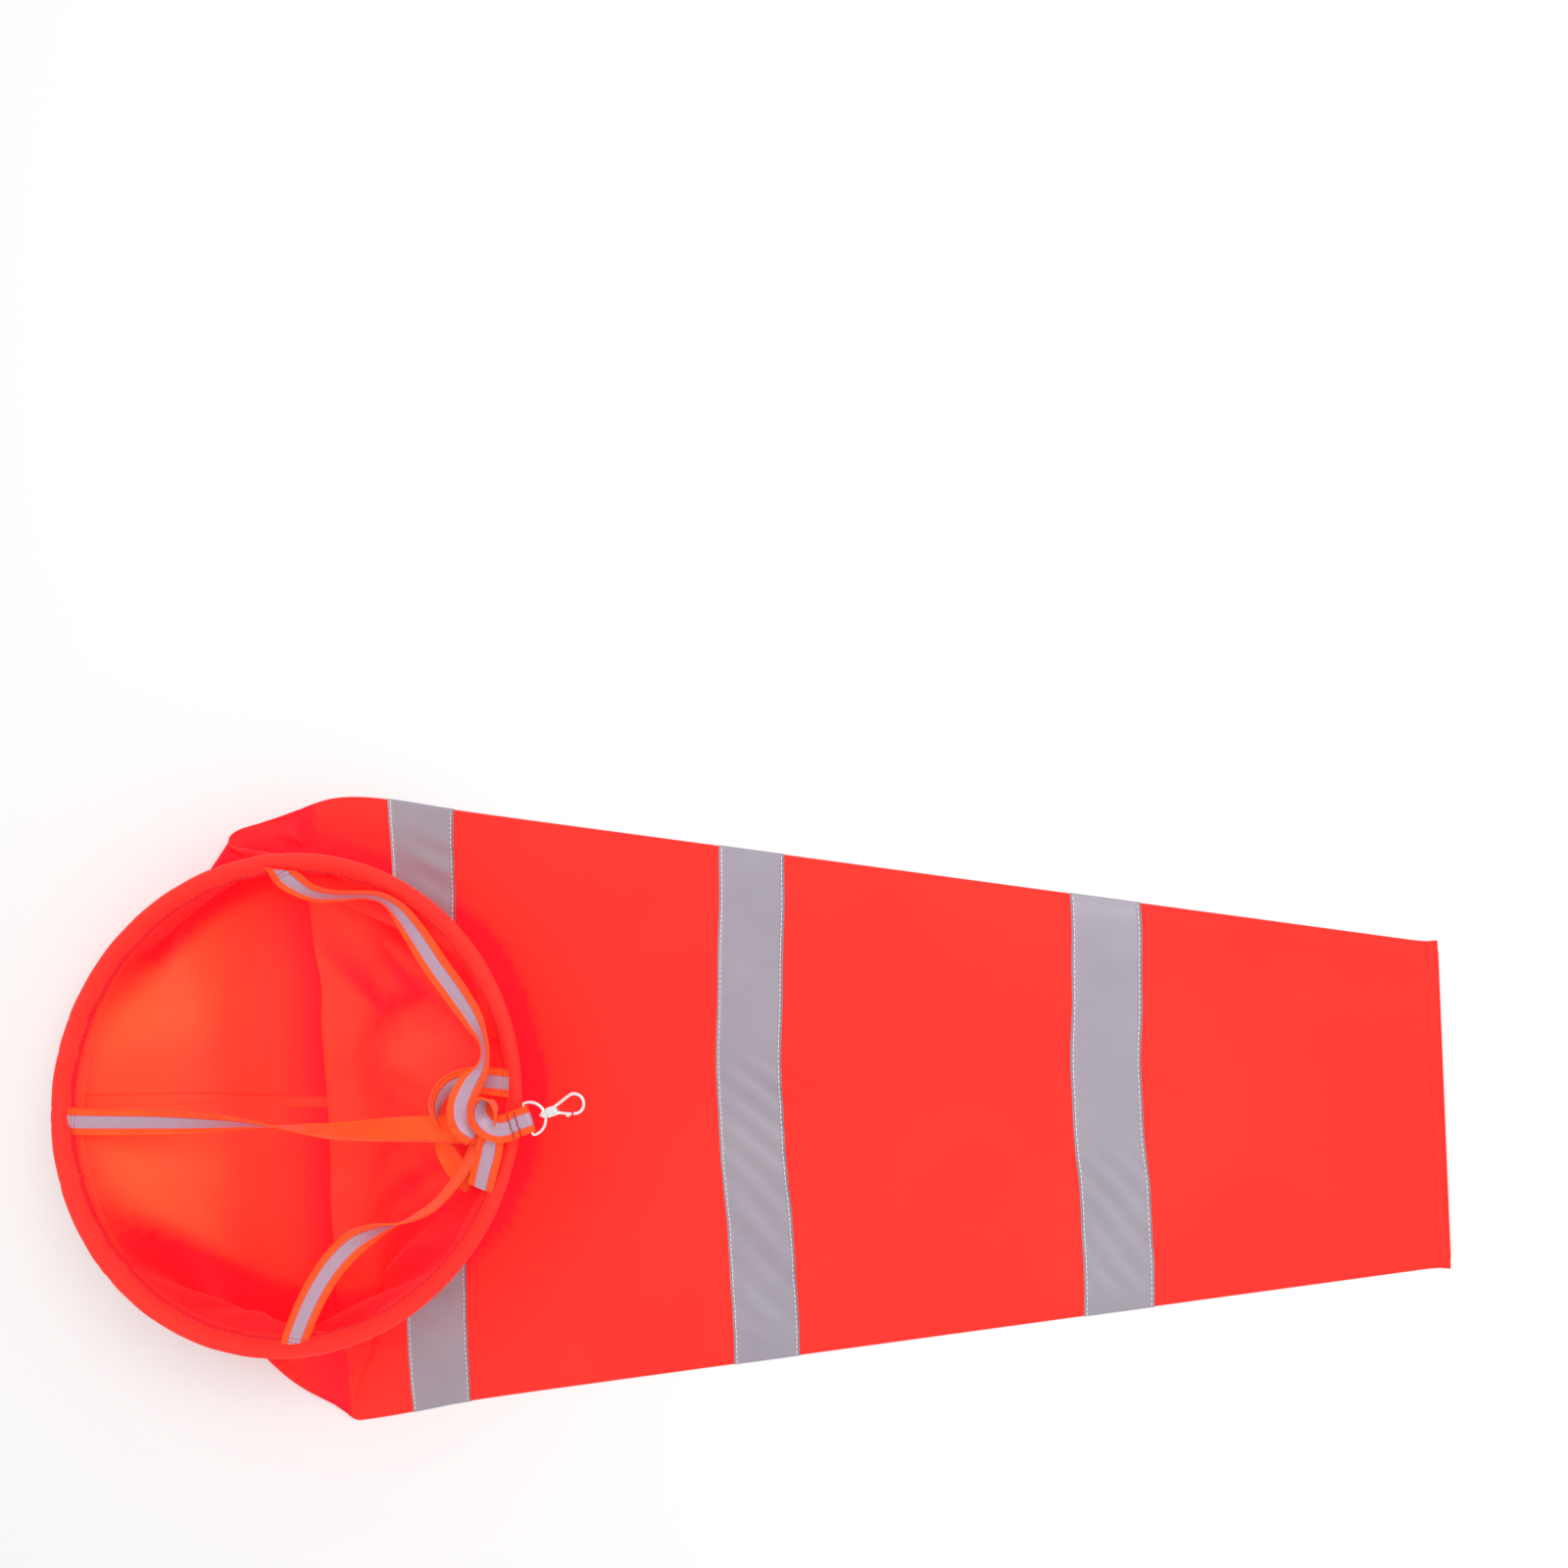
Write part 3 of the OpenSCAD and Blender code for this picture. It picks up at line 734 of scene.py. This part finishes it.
seam_rows = np.linspace(2, nj - 4, 300)
seam_across = np.linspace(-1.4, 1.4, 5)[:, None]
seam_grid, _ = over_cloth(seam_across, seam_rows[None, :], -0.42)
seam = cloth("long_seam_strip", seam_grid, 0.3, sleeve_cloth, (10, cut_l - 20))
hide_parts("long_seam")
tint(seam)

around_i = np.linspace(0, ni, 481)
fold_j = nj - 1 - 2.3           # where the tail's fold begins, 8 mm from the end
tail_grid, _ = over_cloth(around_i[:-1, None], np.linspace(fold_j, nj - 1.02, 5)[None, :], -0.55)
tail_fold = cloth("tail_fold", tail_grid, cloth_t, sleeve_cloth, (456, 8), around=True)
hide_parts("tail_hem")
tint(tail_fold)
tail_line, tail_up = over_cloth(around_i, fold_j, cloth_t / 2)
tail_stitch = stitches("tail_stitching", tail_line, tail_up, hem_thread, thick=0.4)

# ---- Bands with their white stitching ----

band_t = 0.35
BOWS = {1: 0.0, 2: -7.5, 3: -4.0}       # how far each band's middle lies towards the tail from its ends


def make_band(n):
    """A band of tape with its two rows of stitches, and its girth and width."""
    low, high = cad_box(f"reflective_band_{n}")
    middle, width = (low[0] + high[0]) / 2, high[0] - low[0]
    across = np.linspace(-0.5, 0.5, 13)
    bow = BOWS[n] * np.exp(-((layer_side(around_i / 2) - 0.1) / 0.5) ** 2)
    shift = bow + 0.3 * np.sin(around_i * 0.19 + n) + 0.4 * np.sin(around_i * 0.071 + 2 * n)
    rows = row_at(middle + shift[:, None] + across[None, :] * width)
    grid, _ = over_cloth(around_i[:-1, None], rows[:-1], cloth_t / 2 + band_t / 2 + 0.1)
    girth = float(np.linalg.norm(np.diff(grid[:, 6], axis=0), axis=1).sum())
    band = cloth(f"band_{n}", grid, band_t, tape, (girth, width), around=True)
    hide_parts(f"reflective_band_{n}")
    thread = []
    for edge, name in ((-1, "a"), (1, "b")):
        line_rows = row_at(middle + shift + edge * (width / 2 - 2.0))
        line, up = over_cloth(around_i, line_rows, cloth_t / 2 + band_t + 0.12)
        row = stitches(f"band_{n}_stitches_{name}", line, up, white_thread, 3.0, 3.8, 0.75)
        thread.append(row)
    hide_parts(f"band_stitching_{n}")
    return band, girth, width, thread


bands = [make_band(n) for n in BOWS]

# ---- Hem round the hoop ----

def hem_profile():
    """The hem's flattened section, from the stitch line up round the wire and back, to the allowance."""
    turns = np.radians(np.linspace(125, -170, 20))
    loop = [(4.5 * math.cos(a), 3.25 * math.sin(a)) for a in turns]
    return [(-9.4, -5.4), (-7.4, -3.3), (-5.3, -0.8)] + loop + [(-6.2, -4.6), (-8.0, -6.4), (-9.6, -7.2)]


hem_cut_w = 46          # the strip that goes round the wire
hem_points = np.array(hem_profile())
tucks = np.sort(rng.uniform(0, math.tau, 26))
to_tuck = (hem_angles[:, None] - tucks[None, :] + math.pi) % math.tau - math.pi
pinch = np.exp(-(np.min(np.abs(to_tuck), axis=1) * hoop_r / 2.2) ** 2)
wave = 0.5 * np.sin(hem_angles * 23 + 1.0) + 0.4 * np.sin(hem_angles * 41 + 2.0)


def hem_ring(dr, dz, depth):
    """A line round the hem. depth is how much of the tucks and waves it takes."""
    r = hoop_r + dr + depth * (0.5 * wave - 0.9 * pinch)
    z = dz + depth * (0.6 * wave - 1.1 * pinch)
    return lean(np.stack([r * np.cos(hem_angles), r * np.sin(hem_angles), z], -1))


hem_grid = np.stack([hem_ring(dr, dz, 0.25 + 0.75 * smooth(-3, -12, dr) if dr > -3 else 1.0)
                     for dr, dz in hem_points], 1)
hem = cloth("hem_tube", hem_grid, cloth_t, sleeve_cloth, (1131, hem_cut_w), around=True)
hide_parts("mouth_hem")
hem_stitch_shade = np.exp(-((hem_points[:, 0] + 9.5) / 1.8) ** 2)     # painted shade: it is darker by the stitch line
tint(hem, 0.35, np.tile(hem_stitch_shade, 2 * len(hem_angles)))

# The allowance inside is cut in pieces that overlap at the tucks, and each lies a little differently
row_step = cut_l / (nj - 1)
for k, (a, b) in enumerate(zip(tucks, np.roll(tucks, -1))):
    b = b if b > a else b + math.tau
    if (b - a) * hoop_r < 12:
        continue
    spin = (math.pi - np.array([a - 0.012, b + 0.012])) / math.tau * ni
    place = np.linspace(*spin, max(6, int((b - a) * 40)))[:, None]
    depth = np.linspace(0, 7.5 + rng.uniform(-1.0, 1.2), 7)
    piece_grid, _ = over_cloth(place, depth[None, :] / row_step, -0.8 - 0.45 * (k % 2))
    weave = ((b - a) * stitch_r, 8)
    piece = cloth(f"hem_allowance_{k:02d}", piece_grid, cloth_t, sleeve_cloth, weave)
    # painted shade along the stitch line, where the allowance tucks under
    tint(piece, 0.5, np.tile(np.exp(-(depth / 1.8) ** 2), 2 * len(place)))

hem_line = hem_ring(-8.6, -4.1, 1.0)
hem_line = np.vstack([hem_line, hem_line[:1]])
hem_up = np.repeat([[0, 0, 1.0]], len(hem_line), 0)
hem_stitch = stitches("hem_stitching", hem_line, hem_up, hem_thread, 3.2, 4.4, 0.9)

# ---- Webbing straps ----

# x, y, z and the turn of the strap's face from level, in degrees
LEFT = [
    (-497, 0, 84, 0), (-480, -1, 81, 2), (-437, -2, 75, 12), (-399, -3, 71, 32),
    (-365, -4, 68, 56), (-340, -6, 66, 76), (-316, -8, 65, 96), (-290, -10, 64, 114),
    (-259, -9, 66, 132), (-219, -7, 71, 148), (-190, -6, 78, 160), (-172, -6, 81, 170),
]
TOP = [
    (-331, 186, 61, 0), (-326, 178, 58, 12), (-310, 168, 55, 42), (-291, 165, 54, 64),
    (-271, 165, 54, 72), (-254, 162, 54, 58), (-239, 151, 55, 30), (-224, 132, 57, 10),
    (-210, 112, 59, 4), (-195, 93, 61, 6), (-180, 73, 64, 20), (-170, 56, 68, 50),
    (-169, 40, 74, 48), (-177, 26, 80, 12), (-182, 12, 85, -8), (-180, -1, 86, -24),
    (-172, -9, 84, -40),
]
BOTTOM = [
    (-309, -160, 98, 0), (-307, -150, 95, 0), (-299, -128, 88, 2), (-287, -107, 82, 8),
    (-271, -90, 77, 24), (-252, -80, 75, 58), (-230, -73, 74, 92), (-210, -63, 75, 110),
    (-196, -50, 76, 118), (-184, -35, 77, 123), (-174, -18, 78, 129), (-167, -4, 78, 135),
]
RIGHT = [
    (-149, 26, 72.5, 0), (-160, 27, 70.5, 0), (-178, 28, 69, -12), (-196, 24, 68, -40),
    (-206, 11, 69, -70), (-207, -8, 69, -125), (-200, -26, 68, -155), (-190, -41, 67, -162),
    (-182, -47, 67, -165),
]
TAIL = [
    (-160, -9, 84, 0), (-162, -22, 84, 0), (-166, -35, 83, 4), (-170, -48, 81, 8),
]


def strap_frame(route, n):
    """Points along a strap, its way across and its face's way up."""
    p = spline(route, n)
    line, turn = p[:, :3], np.radians(p[:, 3])[:, None]
    along = unit(np.gradient(line, axis=0))
    level = unit(np.cross([0, 0, 1], along))
    up = np.cross(along, level)
    return line, level * np.cos(turn) + up * np.sin(turn), up * np.cos(turn) - level * np.sin(turn)


def ribbon(name, line, across, up, width, thick, lift, finish, skew=0.0):
    """A woven strip along a line. skew slants its first end, so that it can lie along the hem."""
    lanes = np.linspace(-0.5, 0.5, 9)[:, None, None]
    crown = (0.25 - lanes ** 2) * 0.8
    run = along_line(line)
    slant = unit(np.gradient(line, axis=0)) * (skew * np.exp(-run / 14))[:, None]
    grid = line[None] + (across[None] + slant[None]) * lanes * width + up[None] * (lift + crown)
    length = float(run[-1])
    return cloth(name, grid, thick, finish, (width, length)), length


def stripe(name, line, across, up, node, skew=0.0):
    """The reflective stripe along the middle of a strap's upper face."""
    piece, _ = ribbon(name, line, across, up, stripe_w, stripe_t, stripe_lift, stripe_tape,
                      skew)
    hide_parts(node)
    return piece


def strap(name, route, node, stripe_node, skew=0.0, n=120):
    """A strap from the hem to the knot, with its stripe and the two rows of stitches that hold it."""
    line, across, up = strap_frame(route, n)
    body, length = ribbon(name, line, across, up, strap_w, strap_t, 0.0, webbing, skew)
    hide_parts(node)
    body_stripe = stripe(f"{name}_stripe", line, across, up, stripe_node, skew)
    tacks = []
    for k, at in enumerate((2.5, 5.5)):
        m = at / length * (n - 1)
        a, f = int(m), m % 1
        centre = line[a] * (1 - f) + line[a + 1] * f
        lane = np.linspace(-0.46, 0.46, 12)[:, None] * across[a] * strap_w
        tacks.append(stitches(f"{name}_tack_{k}", centre + lane + up[a] * (strap_t / 2 + 0.35),
                              np.repeat(up[a][None], 12, 0), hem_thread, 1.8, 2.5, 0.5))
    return body, tacks


left, left_tacks = strap("strap_left", LEFT, "bridle_strap_left", "strap_stripe_left")
strap("strap_top", TOP, "bridle_strap_top", "strap_stripe_top", 0.75, 160)
strap("strap_bottom", BOTTOM, "bridle_strap_bottom", "strap_stripe_bottom", -0.35)
strap("strap_right", RIGHT, "bridle_strap_right", "strap_stripe_right")
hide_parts("strap_bartacks")
free_line, free_across, free_up = strap_frame(TAIL, 50)
tail, tail_l = ribbon("strap_tail", free_line, free_across, free_up, strap_w, strap_t, 0.0, webbing)
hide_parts("strap_tail_end")
tail_stripe = stripe("strap_tail_stripe", free_line, free_across, free_up, "strap_stripe_tail")

# ---- Gathered end: the strap folds round the eye's bar and curls back into the knot ----

gather_low, gather_high = cad_box("gather_loop")
gather_yaw = math.radians(18)
eye_at = np.array([-131.0, 2.5, (gather_low[2] + gather_high[2]) / 2])


def at_eye(p):
    """From the eye's own frame, whose x points out along the hook."""
    p = np.asarray(p, float)
    c, s = math.cos(gather_yaw), math.sin(gather_yaw)
    return np.stack([eye_at[0] + p[..., 0] * c - p[..., 1] * s, eye_at[1] + p[..., 0] * s + p[..., 1] * c,
                     eye_at[2] + p[..., 2]], -1)


eye_bar_r = 1.28
gather_w = strap_w - 0.6
fold_r = eye_bar_r + strap_t / 2
UNDER_X = (-30, -20, -10, -3)
OVER = [(-3, 0, 0), (-8, 0, 0), (-14, -1, 0.2)]
# The curl into the knot: x, y, z and the turn of its face, in degrees
CURL = [
    (-21.5, 0, 3.2, 0), (-28, 5, 4.2, 18), (-31.5, 12.5, 5.2, 42), (-29.5, 20, 6.0, 62),
    (-24, 23.5, 6.2, 74), (-19.5, 20.5, 5.6, 78), (-19, 13.5, 4.6, 76), (-22.5, 7, 3.0, 70),
]


def gather_frame(n):
    """Points along the gather in the eye's frame, its way across, and its face's way out."""
    fold = [(fold_r * math.cos(a), 0, fold_r * math.sin(a)) for a in np.radians(np.linspace(-80, 80, 9))]
    level_run = [(x, 0, -fold_r) for x in UNDER_X] + fold + [(x, y, fold_r + rise) for x, y, rise in OVER]
    path = spline([(*p, 0, 0) for p in level_run] + [(*p, 1) for p in CURL], n)
    line = path[:, :3]
    along = unit(np.gradient(line, axis=0))
    level = unit(np.cross([0, 0, 1], along * [1, 1, 0]))
    level = np.where((line[:, 0] > -18)[:, None], [0, -1, 0], level)
    level[: np.argmax(line[:, 0])] = [0, -1, 0]
    facing = np.cross(along, level)
    turn = np.radians(path[:, 3])[:, None]
    across = level * np.cos(turn) + facing * np.sin(turn)
    return at_eye(line), at_eye(across) - eye_at, at_eye(unit(np.cross(along, across))) - eye_at


g_line, g_across, g_up = gather_frame(260)
gather, gather_len = ribbon("gather", g_line, g_across, g_up, gather_w, strap_t, 0.0, webbing)
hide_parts("gather_loop", "bridle_knot")
show = slice(int(len(g_line) * 0.265), None)        # the stripe is seen from the fold's top on
gather_stripe = stripe("gather_stripe", g_line[show], g_across[show], g_up[show], "gather_stripe")
lane = np.linspace(-9.4, 9.4, 14)
for k, (x, aside) in enumerate(((-13.0, 0.6), (-7.5, 0.2))):
    row = at_eye(np.stack([x + 0.6 * np.sin(lane), lane - aside, 0 * lane + fold_r + 1.35], -1))
    stitches(f"gather_stitches_{k}", row, np.repeat([[0, 0, 1.0]], 14, 0), red_thread,
                         2.3, 2.4, 0.9)
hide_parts("gather_stitching")

# ---- Finishes of the CAD parts that stay ----

FINISHES = (
    (steel, ("hoop_wire", "hoop_ferrule", "gate_spring")),
    (nickel, ("d_eye", "swivel_stud", "hook_body", "gate", "gate_rivet")),
)
for finish, names in FINISHES:
    for name in names:
        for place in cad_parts[name].material_slots:
            place.material = finish

# ---- Floor, light and camera ----

far = 6.0       # metres from the middle of the floor to each side
floor_mesh = bpy.data.meshes.new("floor")
floor_mesh.from_pydata([(-far, -far, 0), (far, -far, 0), (far, far, 0), (-far, far, 0)], [], [(0, 1, 2, 3)])
floor = bpy.data.objects.new("floor", floor_mesh)
scene.collection.objects.link(floor)
pale = Finish("floor_pale", Roughness=0.9, Specular_IOR_Level=0.1, Base_Color=(0.96, 0.96, 0.96, 1))
floor_mesh.materials.append(pale.material)

scene.view_settings.view_transform = "Standard"
world = scene.world or bpy.data.worlds.new("studio")
scene.world = world
world.use_nodes = True
sky = world.node_tree.nodes["Background"]
sky.inputs[0].default_value = (1.0, 1.0, 1.0, 1)
sky.inputs[1].default_value = 0.84


def softbox(name, place, target, width, watts):
    light = bpy.data.lights.new(name, "AREA")
    light.shape, light.size, light.energy = "SQUARE", width, watts
    lamp = bpy.data.objects.new(name, light)
    scene.collection.objects.link(lamp)
    lamp.location = place
    lamp.rotation_euler = (Vector(target) - Vector(place)).to_track_quat("-Z", "Y").to_euler()


softbox("key", (0.75, 0.75, 1.7), (-0.1, 0, 0), 0.9, 13)

lens = bpy.data.cameras.new("photo_view")
lens.sensor_width, lens.lens = 36, 38.25
lens.clip_start, lens.clip_end = 0.01, 50
camera = bpy.data.objects.new("photo_view", lens)
scene.collection.objects.link(camera)
# It looks down on the tail half of the sleeve, tilted a little towards the mouth
tilt = Matrix.Rotation(math.radians(10.69), 4, Vector((1.65, 10.41, -1.81)).normalized())
camera.matrix_world = Matrix.Translation((0.273, 0.200, 1.234)) @ tilt
scene.camera = camera
